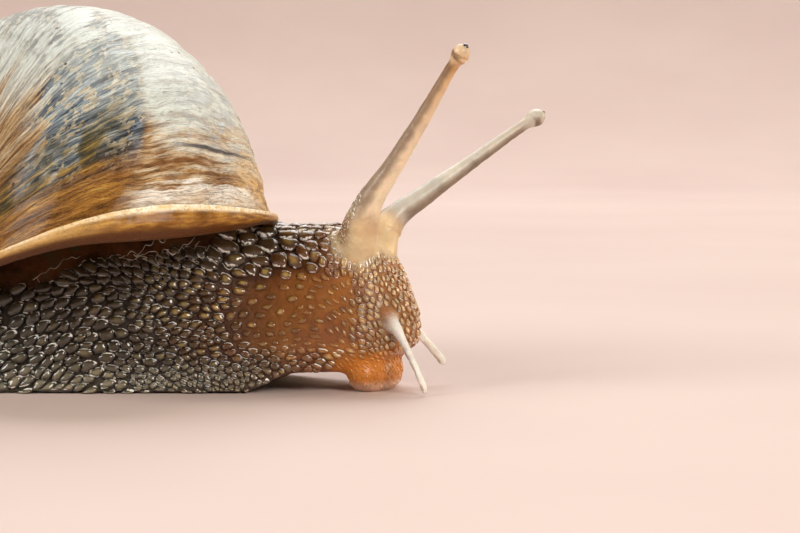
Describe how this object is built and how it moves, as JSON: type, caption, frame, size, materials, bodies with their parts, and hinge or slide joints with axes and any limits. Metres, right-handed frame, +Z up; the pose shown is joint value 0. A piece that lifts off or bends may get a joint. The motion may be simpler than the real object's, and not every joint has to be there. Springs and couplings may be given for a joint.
{
  "type": "garden snail",
  "caption": "Life-size crawling garden snail with a right-handed coiled shell, a reflected lip, a flat foot, a lowered head and raised eye tentacles.",
  "frame": {"origin": "on the flat sole of the foot under the shell's front, at floor level", "axes": "+X along the body towards the head, +Y to the animal's left, +Z up from the floor"},
  "size_m": [0.0608, 0.0296, 0.0252],
  "materials": {
    "shell": "worn shell, cream over orange-brown with blue-grey blotches, satin",
    "shell_spire": "worn shell, grey-cream, satin",
    "shell_lip": "smooth cream and tan, semi-gloss",
    "mantle": "wet, glossy",
    "skin": "wet, pebbled, glossy",
    "sole": "wet, glossy",
    "tentacle": "wet, finely grained, glossy",
    "eye": "gloss"
  },
  "bodies": {
    "root": {"shell_spire": "shell_spire", "shell_body_whorl": "shell", "shell_lip": "shell_lip", "mantle_collar": "mantle", "tail": "skin", "trunk": "skin", "neck": "skin", "head": "skin", "foot_rear": "sole", "foot_middle": "sole", "foot_front": "sole", "mouth_lobe": "sole", "upper_tentacle_base_right": "tentacle", "upper_tentacle_shaft_right": "tentacle", "eye_right": "eye", "upper_tentacle_base_left": "tentacle", "upper_tentacle_shaft_left": "tentacle", "eye_left": "eye", "lower_tentacle_right": "tentacle", "lower_tentacle_left": "tentacle"}
  },
  "joints": []
}
